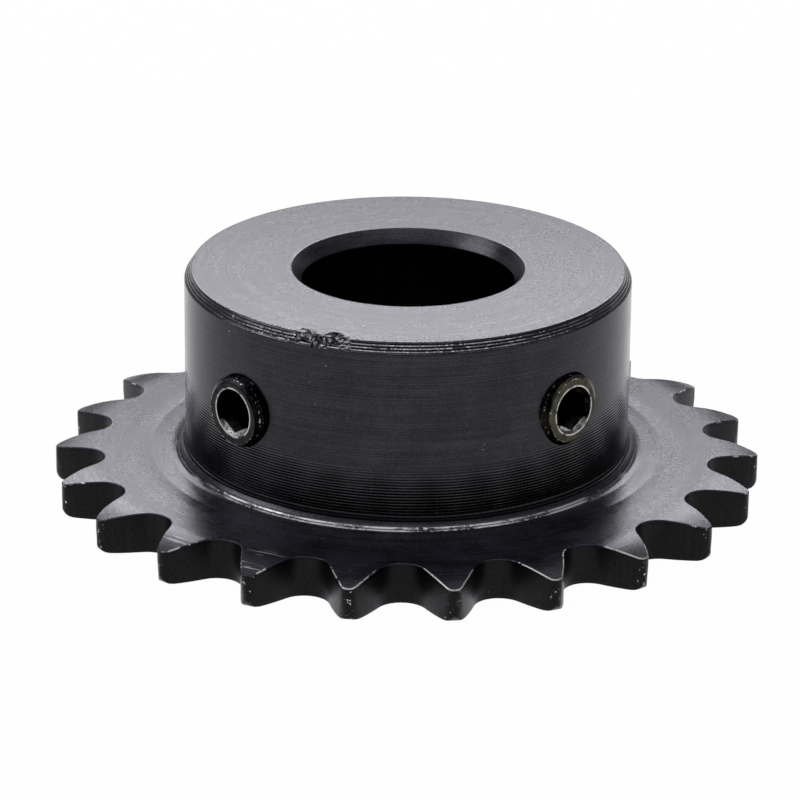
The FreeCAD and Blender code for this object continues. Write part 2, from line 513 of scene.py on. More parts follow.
def section_corners(sizes):
    """The blank's section: each corner's place, its rounding and the cuts in the line after it."""
    inner = teeth_begin(sizes)
    tip = sizes.tip_radius
    rim = tip - RIM_ZONE
    top = sizes.total_height
    plate = sizes.plate_thickness
    hub_edge = top - sizes.hub_chamfer_height
    hub_face = sizes.hub_radius - sizes.hub_chamfer_width
    bore_face = sizes.bore_radius + sizes.bore_chamfer_width
    break_ = sizes.edge_break
    corners = [
        (sizes.bore_radius + sizes.back_chamfer, 0.0, break_, 2),
        (inner, 0.0, 0.0, 5),
        (tip - sizes.lower_round, 0.0, 0.0, 4),
        (rim, 0.0, 0.0, 0),
        (tip, 0.0, sizes.tooth_edge_break, 7),
        (tip, plate, sizes.tooth_edge_break, 0),
        (rim, plate, 0.0, 8),
        (inner, plate, 0.0, 1),
    ]
    beside_foot = Vector((PLATE_RING_RADIUS, plate))
    plate_ring_depth = PLATE_RING_DEPTH_SHARE * sizes.ring_depth
    corners += tool_ring(beside_foot, Vector((0, -1)), PLATE_RING_WIDTH, plate_ring_depth)
    corners += [
        (sizes.hub_radius, plate, sizes.foot_radius, 0),
        (sizes.hub_radius, hub_edge, break_, 0),
    ]
    low = Vector((sizes.hub_radius, hub_edge))
    high = Vector((hub_face, top))
    inward = Vector((-(high - low).y, (high - low).x)).normalized()
    for share in CHAMFER_RING_PLACES:
        corners += tool_ring(low.lerp(high, share), inward, CHAMFER_RING_WIDTH, sizes.ring_depth)
    corners += [
        (hub_face, top, break_, 0),
        (hub_face - FACE_BORDER, top, 0.0, 8),
        (hub_face - KNOCK_ZONE, top, 0.0, 1),
        (bore_face + FACE_BORDER, top, 0.0, 0),
        (bore_face, top, break_, 1),
        (sizes.bore_radius, top - sizes.bore_chamfer_height, break_, 2),
        (sizes.bore_radius, sizes.back_chamfer, break_, 0),
    ]
    return corners


def tool_ring(place, inward, width, depth):
    """Three corners of a narrow groove that the turning tool left."""
    along = Vector((inward.y, -inward.x)) * width / 2
    return [(point.x, point.y, 0.0, 0) for point in (place - along, place + inward * depth, place + along)]


def foot_centre(sizes):
    """Centre of the fillet between hub and plate, in the X-Z plane."""
    return Vector((sizes.hub_radius + sizes.foot_radius, 0, sizes.plate_thickness + sizes.foot_radius))


def foot_turn(sizes, place):
    """How far round the foot fillet a place on it lies, from 0 at the hub's wall; -1 off the fillet."""
    out = Vector((math.hypot(place.x, place.y), 0, place.z)) - foot_centre(sizes)
    if out.x > 0 or out.z > 0 or abs(out.length - sizes.foot_radius) > FOOT_TOLERANCE:
        return -1.0
    return math.atan2(-out.z, -out.x)


def blank_sector(bm, sizes, stations):
    """Rounds the corners of the section, adds its rings and spins it through one pitch."""
    corners = section_corners(sizes)
    places = []
    for (radius, height, rounding, cuts), after in zip(corners, corners[1:] + corners[:1]):
        start = Vector((radius, 0, height))
        end = Vector((after[0], 0, after[1]))
        places.append((start, rounding))
        for cut in range(1, cuts + 1):
            places.append((start.lerp(end, cut / (cuts + 1)), 0.0))
    verts = [bm.verts.new(place) for place, rounding in places]
    for vert, following in zip(verts, verts[1:] + verts[:1]):
        bm.edges.new((vert, following))
    roundings = (
        (sizes.foot_radius, FOOT_SEGMENTS),
        (sizes.edge_break, EDGE_SEGMENTS),
        (sizes.tooth_edge_break, EDGE_SEGMENTS),
    )
    for rounding, segments in roundings:
        rounded = [vert for vert, place in zip(verts, places) if place[1] == rounding]
        bmesh.ops.bevel(
            bm, geom=rounded, offset=rounding, offset_type="OFFSET", segments=segments,
            profile=0.5, affect="VERTICES", material=-1)
    for vert in bm.verts:
        if any(abs(foot_turn(sizes, vert.co) - mark) < FOOT_MARK_REACH for mark in FOOT_MARKS):
            vert.co = foot_centre(sizes).lerp(vert.co, 1 - FOOT_MARK_HEIGHT / sizes.foot_radius)
    bmesh.ops.spin(
        bm, geom=list(bm.verts) + list(bm.edges), cent=(0, 0, 0), axis=(0, 0, 1),
        angle=math.tau / sizes.tooth_count, steps=stations)


def shape_sector(bm, sizes, outline):
    """Pulls the sector's outer rings in to the outline of the teeth and gives them their relief."""
    inner = teeth_begin(sizes)
    worn_outline = pitch_outline(sizes, LOWER_WEAR)
    last = len(outline) - 1
    for vert in bm.verts:
        radius = math.hypot(vert.co.x, vert.co.y)
        station = round(math.atan2(vert.co.y, vert.co.x) * sizes.tooth_count / math.tau * last)
        point, outward = outline[station]
        worn_point, worn_outward = worn_outline[station]
        lowness = max(0.0, 1 - vert.co.z / (LOWER_WEAR_HEIGHT * sizes.plate_thickness))
        point = point.lerp(worn_point, lowness)
        outward = outward.lerp(worn_outward, lowness).normalized()
        flat = point.normalized() * min(radius, inner)
        if radius > inner:
            rim = point - outward * min(sizes.tip_radius - radius, RIM_ZONE)
            flat = flat.lerp(rim, min((radius - inner) / (TEETH_ZONE - RIM_ZONE), 1.0))
            low = lower_height(sizes, flat.length)
            high = upper_height(sizes, flat.length)
            vert.co.z = low + vert.co.z / sizes.plate_thickness * (high - low)
        vert.co.xy = flat


def face_finish(face, sizes):
    """Which finish a face of the blank has: a wall, a faced surface, a tooth, a worn edge, or a ring's crest
    that is partly rubbed bare and partly painted highlight.
    """
    place = face.calc_center_median()
    radius = math.hypot(place.x, place.y)
    slope = abs(face.normal.z)
    upper = place.z > sizes.plate_thickness / 2
    if upper and radius > sizes.tip_radius - sizes.tooth_edge_break and 0.1 < slope < 0.98:
        return WORN_EDGE
    near_top = place.z > sizes.total_height - 2 * sizes.hub_chamfer_height
    on_crest = any(low < slope < high for low, high in CHAMFER_CREST_SLOPES)
    if near_top and radius > sizes.hub_radius - sizes.hub_chamfer_width and on_crest:
        return CHAMFER_RING
    turn = foot_turn(sizes, place)
    if any(0 < turn - mark < FOOT_MARK_WIDTH for mark in FOOT_MARKS):
        return FOOT_RING
    if slope > 0.5:
        return OXIDE_FACE
    return OXIDE_TOOTH if radius > teeth_begin(sizes) else OXIDE_WALL


def ragged_depth(sizes, place):
    """How deep the knocked patch at the front left of the hub's end is bitten at a place."""
    inward = sizes.hub_radius - sizes.hub_chamfer_width - math.hypot(place.x, place.y)
    turn = math.degrees(math.atan2(place.x, -place.y))
    from_end = min(turn - RAGGED_ARC[0], RAGGED_ARC[1] - turn)
    below_chamfer = sizes.total_height - sizes.hub_chamfer_height - place.z
    if from_end < 0 or inward > RAGGED_REACH or below_chamfer > 0:
        return 0.0
    lumps = sum(strength * noise.noise(place * fineness) for strength, fineness in RAGGED_LUMPS)
    fade = max(0, inward) * RAGGED_INWARD_FADE
    fade += max(0, RAGGED_END_ARC - from_end) * RAGGED_END_FADE
    fade += max(0, RAGGED_DOWN_REACH + below_chamfer) * RAGGED_DOWN_FADE
    return min(max(lumps + RAGGED_LEVEL - fade, 0.0), 1.0) * RAGGED_DEPTH


def bite_ragged_patch(piece, sizes, material):
    """Sinks the knocked patch into the hub's end, down and inwards, and gives it the chipped finish."""
    index = piece.data.materials.find(material.name)
    bm = bmesh.new()
    bm.from_mesh(piece.data)
    bitten = [(vert, ragged_depth(sizes, vert.co)) for vert in bm.verts]
    for vert, depth in bitten:
        outward = Vector((vert.co.x, vert.co.y, 0)).normalized()
        vert.co -= (outward * RAGGED_WAY[0] + Vector((0, 0, RAGGED_WAY[1]))) * depth
        if depth > 0.1 * RAGGED_DEPTH:
            for face in vert.link_faces:
                face.material_index = index
    bm.to_mesh(piece.data)
    bm.free()


def body_mesh(sizes):
    """One sector from the middle of a tooth to the next, repeated all round."""
    outline = pitch_outline(sizes)
    bm = bmesh.new()
    blank_sector(bm, sizes, len(outline) - 1)
    bmesh.ops.recalc_face_normals(bm, faces=bm.faces)
    bm.normal_update()
    for face in bm.faces:
        face.material_index = face_finish(face, sizes)
    shape_sector(bm, sizes, outline)
    pitch = math.tau / sizes.tooth_count
    bmesh.ops.rotate(bm, verts=bm.verts, cent=(0, 0, 0), matrix=Matrix.Rotation(pitch / 2, 3, "Z"))
    bmesh.ops.spin(
        bm, geom=list(bm.faces), cent=(0, 0, 0), axis=(0, 0, 1),
        angle=math.tau - pitch, steps=sizes.tooth_count - 1, use_duplicate=True)
    return bm


# Threads, shared by the screws and their holes

# Rings along one turn of the thread and points round each ring
THREAD_STEPS = 10
THREAD_SIDES = 72

# The flat shares of the thread's crest and root
CREST_FLAT = 0.12
ROOT_FLAT = 0.2

# How far the hole's cutter runs past the hub's wall, inwards and outwards
HOLE_OVERRUN_IN = 0.6 * MM
HOLE_OVERRUN_OUT = 1.0 * MM


def thread_radius(screw, crest, along, turn):
    """Radius of the thread's surface at a distance along the screw and an angle round it."""
    phase = (along / screw.thread_pitch - turn / math.tau) % 1.0
    rise = abs(2 * phase - 1)
    height = min(max((rise - ROOT_FLAT) / (1 - ROOT_FLAT - CREST_FLAT), 0.0), 1.0)
    return crest - screw.thread_depth * (1 - height)


def threaded_rod(bm, screw, crest, start, end):
    """A rod along +X with a thread on it, closed at both ends."""
    rings = round((end - start) / screw.thread_pitch * THREAD_STEPS)
    line = [bm.verts.new((start, 0, 0))]
    for ring in range(rings + 1):
        line.append(bm.verts.new((start + (end - start) * ring / rings, crest, 0)))
    line.append(bm.verts.new((end, 0, 0)))
    for vert, following in zip(line, line[1:]):
        bm.edges.new((vert, following))
    bmesh.ops.spin(
        bm, geom=list(bm.verts) + list(bm.edges), cent=(0, 0, 0), axis=(1, 0, 0),
        angle=math.tau, steps=THREAD_SIDES, use_merge=True)
    bmesh.ops.remove_doubles(bm, verts=bm.verts, dist=MERGE_DISTANCE)
    for vert in bm.verts:
        if math.hypot(vert.co.y, vert.co.z) > crest / 2:
            turn = math.atan2(vert.co.z, vert.co.y)
            radius = thread_radius(screw, crest, vert.co.x, turn)
            vert.co.y = radius * math.cos(turn)
            vert.co.z = radius * math.sin(turn)


def to_screw_place(sizes, screw, side):
    """Takes a form made along +X to its place in the hub; side is -1 for left, 1 for right."""
    rise = screw.left_rise if side < 0 else screw.right_rise
    turn = -math.pi / 2 + screw.turn + side * screw.spread / 2
    return Matrix.Translation((0, 0, sizes.plate_thickness + rise)) @ Matrix.Rotation(turn, 4, "Z")


def screw_face(sizes, screw, side):
    """How far a screw's face is from the hub's axis."""
    return sizes.hub_radius + (screw.left_stand_out if side < 0 else screw.right_stand_out)


def screw_hole(sizes, screw):
    """The cutter for a threaded hole through the hub's wall along +X, widening at its mouth."""
    bm = bmesh.new()
    crest = screw.radius + screw.thread_clearance
    inner_end = sizes.bore_radius - HOLE_OVERRUN_IN
    threaded_rod(bm, screw, crest, inner_end, sizes.hub_radius + HOLE_OVERRUN_OUT)
    for vert in bm.verts:
        radius = math.hypot(vert.co.y, vert.co.z)
        mouth = crest + vert.co.x - (sizes.hub_radius - screw.mouth_chamfer)
        if radius > crest / 2 and mouth > radius:
            vert.co.y *= mouth / radius
            vert.co.z *= mouth / radius
    return bm


# Chips and nicks in the body's edges

NICK_SEED = 7

# How far a chip's lump swells and shrinks from a ball, and the size below which it is a coarse one
LUMP_RANGE = (0.68, 1.22)
COARSE_LUMP = 0.15 * MM

# Stretches of the hub's end with chips: from and to in degrees from the front, how many are tried,
# and the smallest and largest; then where they lie across the chamfer, as shares of its width
HUB_NICKS = (
    (-31, -13, 60, 0.06 * MM, 0.12 * MM),
    (-13, 35, 70, 0.05 * MM, 0.09 * MM),
    (-56, -30, 30, 0.05 * MM, 0.11 * MM),
    (-180, 180, 40, 0.04 * MM, 0.09 * MM),
)
HUB_NICK_SPREAD = (-0.35, 0.75)

# Chips tried on each tooth, how many points of its outline from its middle they reach, the share of
# them on its upper edge, and the smallest and largest
TOOTH_NICKS = 5
TOOTH_NICK_REACH = 9
UPPER_NICK_SHARE = 0.65
TOOTH_NICK_SIZES = (0.04 * MM, 0.1 * MM)

# The one larger notch, from the middle of its tooth's end
NOTCH_INWARD = 0.12 * MM
NOTCH_TURN = math.radians(-0.25)
NOTCH_HEIGHT = 0.2 * MM
NOTCH_SIZE = 0.34 * MM


def add_nick(bm, rng, place, size):
    """One irregular lump that bites a chip out of an edge."""
    made = bmesh.ops.create_icosphere(bm, subdivisions=1 if size < COARSE_LUMP else 2, radius=size)
    spin = Matrix.Rotation(rng.uniform(0, math.tau), 4, Vector((rng.random(), rng.random(), 1)))
    for vert in made["verts"]:
        vert.co = spin @ (vert.co * rng.uniform(*LUMP_RANGE)) + place


def hub_nicks(sizes, rng):
    """Chips along the hub's end: most at the front left, fewer along the front and single ones round it."""
    top_radius = sizes.hub_radius - sizes.hub_chamfer_width
    for first, last, count, smallest, largest in HUB_NICKS:
        for number in range(count):
            size = rng.uniform(smallest, largest)
            outward = rng.uniform(*HUB_NICK_SPREAD) * sizes.hub_chamfer_width
            turn = math.radians(rng.uniform(first, last))
            drop = max(outward, 0) * sizes.hub_chamfer_height / sizes.hub_chamfer_width
            lift = 0.25 * size
            yield polar(top_radius + outward + lift, turn, sizes.total_height - drop + lift), size


def tooth_nicks(sizes, rng):
    """Small chips along the upper and lower edges of the teeth."""
    outline = pitch_outline(sizes)
    pitch = math.tau / sizes.tooth_count
    for tooth in range(sizes.tooth_count):
        for number in range(TOOTH_NICKS):
            point, outward = outline[rng.randint(-TOOTH_NICK_REACH, TOOTH_NICK_REACH)]
            edge_height = upper_height if rng.random() < UPPER_NICK_SHARE else lower_height
            chip = Vector((point.x, point.y, edge_height(sizes, point.length)))
            chip.rotate(Matrix.Rotation((tooth + 0.5) * pitch, 3, "Z"))
            yield chip, rng.uniform(*TOOTH_NICK_SIZES)


def tip_notch(sizes):
    """The one larger notch: below the end of the tooth left of the front gap."""
    turn = NOTCH_TURN - math.pi / sizes.tooth_count
    return polar(sizes.tip_radius - NOTCH_INWARD, turn, NOTCH_HEIGHT), NOTCH_SIZE


def nicks(sizes):
    """All the chips as one set of lumps, none of which touches another."""
    rng = random.Random(NICK_SEED)
    bm = bmesh.new()
    kept = []
    chips = [tip_notch(sizes), *hub_nicks(sizes, rng), *tooth_nicks(sizes, rng)]
    for place, size in chips:
        if all((place - other).length > LUMP_RANGE[1] * (size + other_size) for other, other_size in kept):
            kept.append((place, size))
            add_nick(bm, rng, place, size)
    return bm


def body_cutter(sizes, screw, materials):
    """Everything that is cut from the body after turning and milling: screw holes and chips."""
    bm = bmesh.new()
    for name, side in SCREWS:
        join_in(bm, screw_hole(sizes, screw), to_screw_place(sizes, screw, side))
    join_in(bm, nicks(sizes), material_index=1)
    return new_piece("body_cutter", bm, materials)


# Set screws

SOCKET_OVERRUN = 1.0 * MM
DRILL_POINT_ANGLE = math.radians(120)
DRILL_POINT_OVERLAP = 0.02


def add_cone(bm, start, end, start_radius, end_radius, sides, turn=0.0):
    """A closed cone or prism along +X between two places."""
    middle = Matrix.Translation(((start + end) / 2, 0, 0))
    along_x = Matrix.Rotation(math.pi / 2, 4, "Y")
    bmesh.ops.create_cone(
        bm, cap_ends=True, segments=sides, radius1=start_radius, radius2=end_radius,
        depth=end - start, matrix=middle @ along_x @ Matrix.Rotation(turn, 4, "Z"))


def hex_socket_cutter(screw, face_at, material):
    """The socket: a hexagon, the drilled point below it and the broken edge at its mouth."""
    bm = bmesh.new()
    outside = face_at + SOCKET_OVERRUN
    floor_at = face_at - screw.socket_depth
    corner = screw.socket_width / math.sqrt(3)
    add_cone(bm, floor_at, outside, corner, corner, 6, turn=math.pi / 6)

    drill = screw.socket_width / 2
    point = drill / math.tan(DRILL_POINT_ANGLE / 2)
    add_cone(bm, floor_at - point, floor_at + DRILL_POINT_OVERLAP * point, 0, drill, 48)

    broken_at = face_at - screw.socket_chamfer
    add_cone(bm, broken_at, outside, corner, corner + outside - broken_at, 96)
    return new_piece("socket_cutter", bm, [material])


def shape_ends(bm, screw, tip_at, face_at):
    """Cuts the rod back to the chamfer round its face and to the cone and hollow of its cup point."""
    rim_slope = screw.rim_chamfer_width / screw.rim_chamfer_height
    for vert in bm.verts:
        radius = math.hypot(vert.co.y, vert.co.z)
        if radius < screw.cup_radius / 2:
            if vert.co.x < (tip_at + face_at) / 2:
                vert.co.x = tip_at + screw.cup_depth
            continue
        rim = screw.radius - screw.rim_chamfer_width + (face_at - vert.co.x) * rim_slope
        cup = screw.cup_radius + (vert.co.x - tip_at)
        share = min(radius, rim, cup) / radius
        vert.co.y *= share
        vert.co.z *= share


def set_screw(sizes, screw, name, side, materials):
    """One screw: a threaded rod with its ends shaped and its socket cut, in its place in the hub."""
    face_at = screw_face(sizes, screw, side)
    tip_at = face_at - screw.length
    bm = bmesh.new()
    threaded_rod(bm, screw, screw.radius, tip_at, face_at)
    shape_ends(bm, screw, tip_at, face_at)
    piece = new_piece(name + "_detailed", bm, materials)
    cut_away(piece, hex_socket_cutter(screw, face_at, materials[1]), crossing=True)
    piece.data.transform(to_screw_place(sizes, screw, side))
    shade(piece)
    return piece


# Materials

# Grooves on the hub's wall, with painted shade in their valleys: their pitch, the heights between which
# they fade at the front, how far the front is from the axis, and how fast they reach higher away from it
GROOVE_PITCH = 0.2 * MM
GROOVES_FADE = (7.0 * MM, 5.2 * MM)
GROOVES_FRONT = 15 * MM
GROOVES_TILT = 0.22

# Distances from the hub's axis between which the ends of the teeth begin to be knocked and worn
TIP_KNOCKS = (22.6 * MM, 23.9 * MM)
TOOTH_ENDS = (20.8 * MM, 22.4 * MM)

# The side where the edges of the teeth are worn most, and how far towards it the wear begins and is
# full; the same for the rings' rubbing and painted highlight, straight towards the front
WORN_FRONT = (0.26, -0.96, 0.0)
WORN_FRONT_REACH = (17.5 * MM, 21.5 * MM)
RUBBED_AND_HIGHLIT_FRONT = (-7.0 * MM, -12.0 * MM)

# Scratches: teeth left of the front with their strength, the middle of the scratches on a tooth, and
# the distances from it between which they begin
SCRATCHED_TEETH = ((1.5, 1.0), (2.5, 0.45))
SCRATCHES_RADIUS = 22.3 * MM
SCRATCHES_HEIGHT = 2.6 * MM
SCRATCHES_REACH = (1.9 * MM, 1.0 * MM)

# Bands on a screw by their distance from its axis: at the socket's mouth bare steel with painted highlight,
# at the rim bare steel, on the thread's crests painted glints; how far below its face the thread's painted
# shade begins;
# and the bottom of its socket, bare steel with painted highlight, with how far in that reaches
MOUTH_WEAR_AND_HIGHLIGHT_BAND = (1.60 * MM, 1.63 * MM, 1.68 * MM, 1.75 * MM)
RIM_BAND = (2.12 * MM, 2.17 * MM, 2.22 * MM, 2.27 * MM)
CREST_GLINT_BAND = (2.33 * MM, 2.38 * MM)
THREAD_SHADE_BEGINS = (0.2 * MM, 0.3 * MM)
SOCKET_LIT_BOTTOM = (-0.75 * MM, -1.0 * MM)
SOCKET_BARE_REACH = (1.1 * MM, 0.8 * MM)


class NodeLayout:
    """A short way to lay out the nodes of a material or of the surroundings."""

    def __init__(self, owner):
        owner.use_nodes = True
        self.tree = owner.node_tree

    def node(self, kind, inputs=None, **settings):
        made = self.tree.nodes.new("ShaderNode" + kind)
        for name, value in settings.items():
            setattr(made, name, value)
        self.feed(made, inputs or {})
        return made

    def feed(self, node, inputs):
        """Links or sets the inputs of a node."""
        for name, value in inputs.items():
            if isinstance(value, bpy.types.NodeSocket):
                self.tree.links.new(value, node.inputs[name])
            else:
                node.inputs[name].default_value = value

    def maths(self, operation, first, second=0.0, clamp=False):
        return self.node("Math", {0: first, 1: second}, operation=operation, use_clamp=clamp).outputs[0]

    def add(self, first, second):
        return self.maths("ADD", first, second)

    def times(self, first, second):
        return self.maths("MULTIPLY", first, second)

    def step(self, value, low, high, to_low=0.0, to_high=1.0, curve="LINEAR"):
        """Runs from one level to the other while the value goes from low to high."""
        inputs = {"Value": value, "From Min": low, "From Max": high, "To Min": to_low, "To Max": to_high}
        return self.node("MapRange", inputs, clamp=True, interpolation_type=curve).outputs["Result"]

    def choose(self, share, first, second):
        """Mixes two shaders."""
        return self.node("MixShader", {"Fac": share, 1: first, 2: second}).outputs["Shader"]


class Paint(NodeLayout):
    """The nodes of one of the metals, with patterns that read the piece's own coordinates."""

    def __init__(self, name):
        self.material = bpy.data.materials.new(name)
        super().__init__(self.material)
        self.shader = self.tree.nodes["Principled BSDF"]
        self.place = self.node("TexCoord").outputs["Object"]

    def axes(self, vector=None):
        return self.node("SeparateXYZ", {"Vector": vector or self.place}).outputs

    def vector(self, **axes):
        return self.node("CombineXYZ", axes).outputs["Vector"]

    def measure(self, operation, first, second=(0.0, 0.0, 0.0)):
        """One number from one or two vectors, such as a length or a distance."""
        return self.node("VectorMath", {0: first, 1: second}, operation=operation).outputs["Value"]

    def stretch(self, scale, vector=None, location=(0, 0, 0), rotation=(0, 0, 0)):
        inputs = {"Vector": vector or self.place, "Scale": scale, "Location": location, "Rotation": rotation}
        return self.node("Mapping", inputs).outputs["Vector"]

    def noise(self, vector, scale=1.0, detail=2.0, roughness=0.5):
        inputs = {"Vector": vector, "Scale": scale, "Detail": detail, "Roughness": roughness}
        return self.node("TexNoise", inputs).outputs["Fac"]

    def band(self, value, rise_from, rise_to, fall_from, fall_to):
        """Rises to 1 and falls back to 0 while the value goes through four places."""
        return self.times(self.step(value, rise_from, rise_to), self.step(value, fall_to, fall_from))

    def blend(self, share, first, second):
        """Mixes two colours."""
        first, second = [c if isinstance(c, bpy.types.NodeSocket) else (*c, 1.0) for c in (first, second)]
        inputs = {0: share, 6: first, 7: second}
        return self.node("Mix", inputs, data_type="RGBA").outputs[2]

    def bump(self, height, distance, **under):
        inputs = {"Height": height, "Distance": distance, "Strength": 1.0, **under}
        return self.node("Bump", inputs).outputs["Normal"]

    def finish(self, colour, roughness, normal, metallic=1.0):
        inputs = {"Base Color": colour, "Metallic": metallic, "Roughness": roughness, "Normal": normal}
        self.feed(self.shader, inputs)


def round_place(paint):
    """Coordinates that run with distance from the axis, for marks that follow circles on a face."""
    axes = paint.axes()
    radius = paint.measure("LENGTH", paint.vector(X=axes["X"], Y=axes["Y"]))
    return paint.vector(X=radius, Y=axes["X"], Z=axes["Y"])


def from_axis(paint):
    """Distance from the hub's axis."""
    return paint.axes(round_place(paint))["X"]


def darker(colour, share):
    """A colour at a share of its strength."""
    return tuple(part * share for part in colour)


# For each kind of oxide surface: how its tool marks are drawn out and how deep they are, its
# roughness, its grain's fineness, share in the colour and depth, how dull the oil's film gets in
# the grain, how metallic the oxide is, how strongly the oil reflects and how dark the oxide is
OXIDE_SURFACES = {
    "turned_wall": dict(
        fine=(95, 95, 7600), coarse=(40, 40, 1350), groove=0.0012 * MM, rough=(0.2, 0.3),
        grain=6800, grain_share=1.2, grain_depth=0.006 * MM, dull=0.88, metal=1.0, oil=1.4, shade=0.75),
    "faced_end": dict(
        fine=(8200, 110, 110), coarse=(1500, 60, 60), groove=0.001 * MM, rough=(0.22, 0.34),
        grain=6200, grain_share=0.6, grain_depth=0.008 * MM, dull=0.45, metal=0.4, oil=1.3, shade=1.0),
    # The milled teeth's oxide is much darker than the rest: painted shade, for the shadowed floor their
    # sides reflect.
    "milled_tooth": dict(
        fine=(5200, 5200, 150), coarse=(1100, 1100, 40), groove=0.0018 * MM, rough=(0.36, 0.48),
        grain=7600, grain_share=1.2, grain_depth=0.009 * MM, dull=0.6, metal=1.0, oil=1.26, shade=0.12),
    "tapped_hole": dict(
        fine=(5200, 5200, 150), coarse=(1100, 1100, 40), groove=0.001 * MM, rough=(0.35, 0.5),
        grain=7600, grain_share=1.0, grain_depth=0.009 * MM, dull=0.7, metal=1.0, oil=1.3, shade=0.6),
}


def oxide(name, colours, sizes):
    """Oiled, blackened steel, with the marks, roughness and grain of one kind of surface."""
    surface = OXIDE_SURFACES[name]
    paint = Paint(name + "_oxide")
    vector = round_place(paint) if name == "faced_end" else paint.place
    fine = paint.noise(paint.stretch(surface["fine"], vector), detail=3.0, roughness=0.6)
    coarse = paint.noise(paint.stretch(surface["coarse"], vector), detail=2.0)
    blotch = paint.noise(paint.place, scale=420, detail=4.0, roughness=0.62)
    grain = paint.noise(paint.place, scale=surface["grain"], detail=3.0, roughness=0.75)

    colour = rubbed_oxide(paint, surface, colours, fine, blotch, grain)
    height = paint.add(fine, paint.times(coarse, 1.4))
    sheen = paint.step(grain, 0.3, 0.7, surface["dull"], 1.0)
    if name == "turned_wall":
        grooves = wall_grooves_and_shade(paint, blotch)
        height = paint.add(height, grooves)
        # Painted shade: the groove valleys get a darker colour and a duller oil sheen.
        shaded_valley = darker(colours.oxide, 0.2 * surface["shade"])
        colour = paint.blend(paint.step(grooves, 0.4, -1.0), colour, shaded_valley)
        sheen = paint.times(sheen, paint.step(grooves, 0.6, -1.2, 1.0, 0.12))
    if name == "milled_tooth":
        colour = paint.blend(tip_knocks(paint), colour, colours.bare)
    if name == "faced_end":
        scratched = scratches(paint, sizes)
        colour = paint.blend(scratched, colour, colours.bare)
        height = paint.maths("SUBTRACT", height, paint.times(scratched, 2.0))
    bare_dot = paint.step(paint.noise(paint.place, scale=4200, detail=0.0), 0.9, 0.92, 0.0, 0.4)
    colour = paint.blend(bare_dot, colour, colours.bare)

    rough = paint.step(paint.add(blotch, paint.times(coarse, 0.6)), 0.55, 1.05, *surface["rough"])
    grooved = paint.bump(height, surface["groove"])
    pits = paint.bump(grain, surface["grain_depth"], Normal=grooved)
    paint.finish(colour, rough, pits, metallic=surface["metal"])
    oil_film(paint, surface, sheen, pits)
    return paint.material


def rubbed_oxide(paint, surface, colours, fine, blotch, grain):
    """The oxide's colour: dark, and lighter where it is rubbed thin along the tool marks."""
    dark = darker(colours.oxide, surface["shade"])
    rubbed = darker(colours.oxide_thin, surface["shade"])
    worn = paint.add(fine, paint.times(blotch, 0.8))
    grained = paint.times(paint.maths("SUBTRACT", grain, 0.5), surface["grain_share"])
    colour = paint.blend(paint.step(paint.add(worn, grained), 0.75, 1.2), dark, rubbed)
    speck = paint.step(paint.noise(paint.place, scale=2600, detail=1.0), 0.72, 0.76)
    return paint.blend(paint.times(speck, 0.5), colour, rubbed)


def oil_film(paint, surface, sheen, normal):
    """A thin film of oil over the finish, which is dull where its sheen is low."""
    paint.feed(paint.shader, {
        "Specular Tint": paint.blend(sheen, (0.0, 0.0, 0.0), (0.94, 0.93, 1.0)),
        "Coat Weight": sheen,
        "Coat IOR": surface["oil"],
        "Coat Roughness": surface["rough"][0],
        "Coat Normal": normal,
    })


def wall_grooves_and_shade(paint, blotch):
    """Even turning grooves on the hub's wall, deepest near the plate and patchy above; the same pattern
    paints shade into their valleys.
    """
    axes = paint.axes()
    wander = paint.noise(paint.stretch((60, 60, 200)), detail=2.0)
    phase = paint.add(paint.times(axes["Z"], math.tau / GROOVE_PITCH), paint.times(wander, 9))
    lines = paint.maths("SINE", phase)
    sideways = paint.times(paint.add(axes["Y"], GROOVES_FRONT), GROOVES_TILT)
    low = paint.step(paint.maths("SUBTRACT", axes["Z"], sideways), *GROOVES_FADE, 0.12, 3.0)
    patchy = paint.step(blotch, 0.3, 0.55, 0.5, 1.0)
    return paint.times(lines, paint.times(low, patchy))


def tip_knocks(paint):
    """Bare dots where the ends of the teeth are knocked."""
    tips = paint.step(from_axis(paint), *TIP_KNOCKS, -0.3, 0.0)
    knocks = paint.noise(paint.place, scale=2800, detail=3.0, roughness=0.7)
    return paint.step(paint.add(knocks, tips), 0.625, 0.66)


def scratches(paint, sizes):
    """Bright turning marks across one tooth's upper side, with a few on its neighbour."""
    lined = paint.noise(paint.stretch((7000, 330, 330), round_place(paint)), detail=2.0)
    share = 0.0
    for teeth_from_front, strength in SCRATCHED_TEETH:
        turn = -teeth_from_front * math.tau / sizes.tooth_count
        centre = polar(SCRATCHES_RADIUS, turn, SCRATCHES_HEIGHT)
        near = paint.step(paint.measure("DISTANCE", paint.place, centre), *SCRATCHES_REACH)
        drawn = paint.times(paint.step(lined, 0.6, 0.66, 0.0, strength), near)
        share = paint.maths("MAXIMUM", share, drawn)
    return share


def worn_edge(colours):
    """An edge of the teeth: bare steel in broken dashes between stretches of dark finish."""
    paint = Paint("worn_edge")
    dashes = paint.noise(paint.place, scale=900, detail=4.0, roughness=0.7)
    outer = paint.step(from_axis(paint), *TOOTH_ENDS, -0.06, 0.08)
    front = paint.measure("DOT_PRODUCT", paint.place, WORN_FRONT)
    worn = paint.step(front, *WORN_FRONT_REACH, -0.11, 0.06)
    bare = paint.step(paint.add(dashes, paint.add(outer, worn)), 0.53, 0.56)
    grain = paint.noise(paint.place, scale=7000, detail=3.0)
    rough = paint.step(grain, 0.3, 0.7, 0.3, 0.5)
    paint.finish(paint.blend(bare, colours.oxide_thin, colours.bare), rough, paint.bump(grain, 0.006 * MM))
    return paint.material


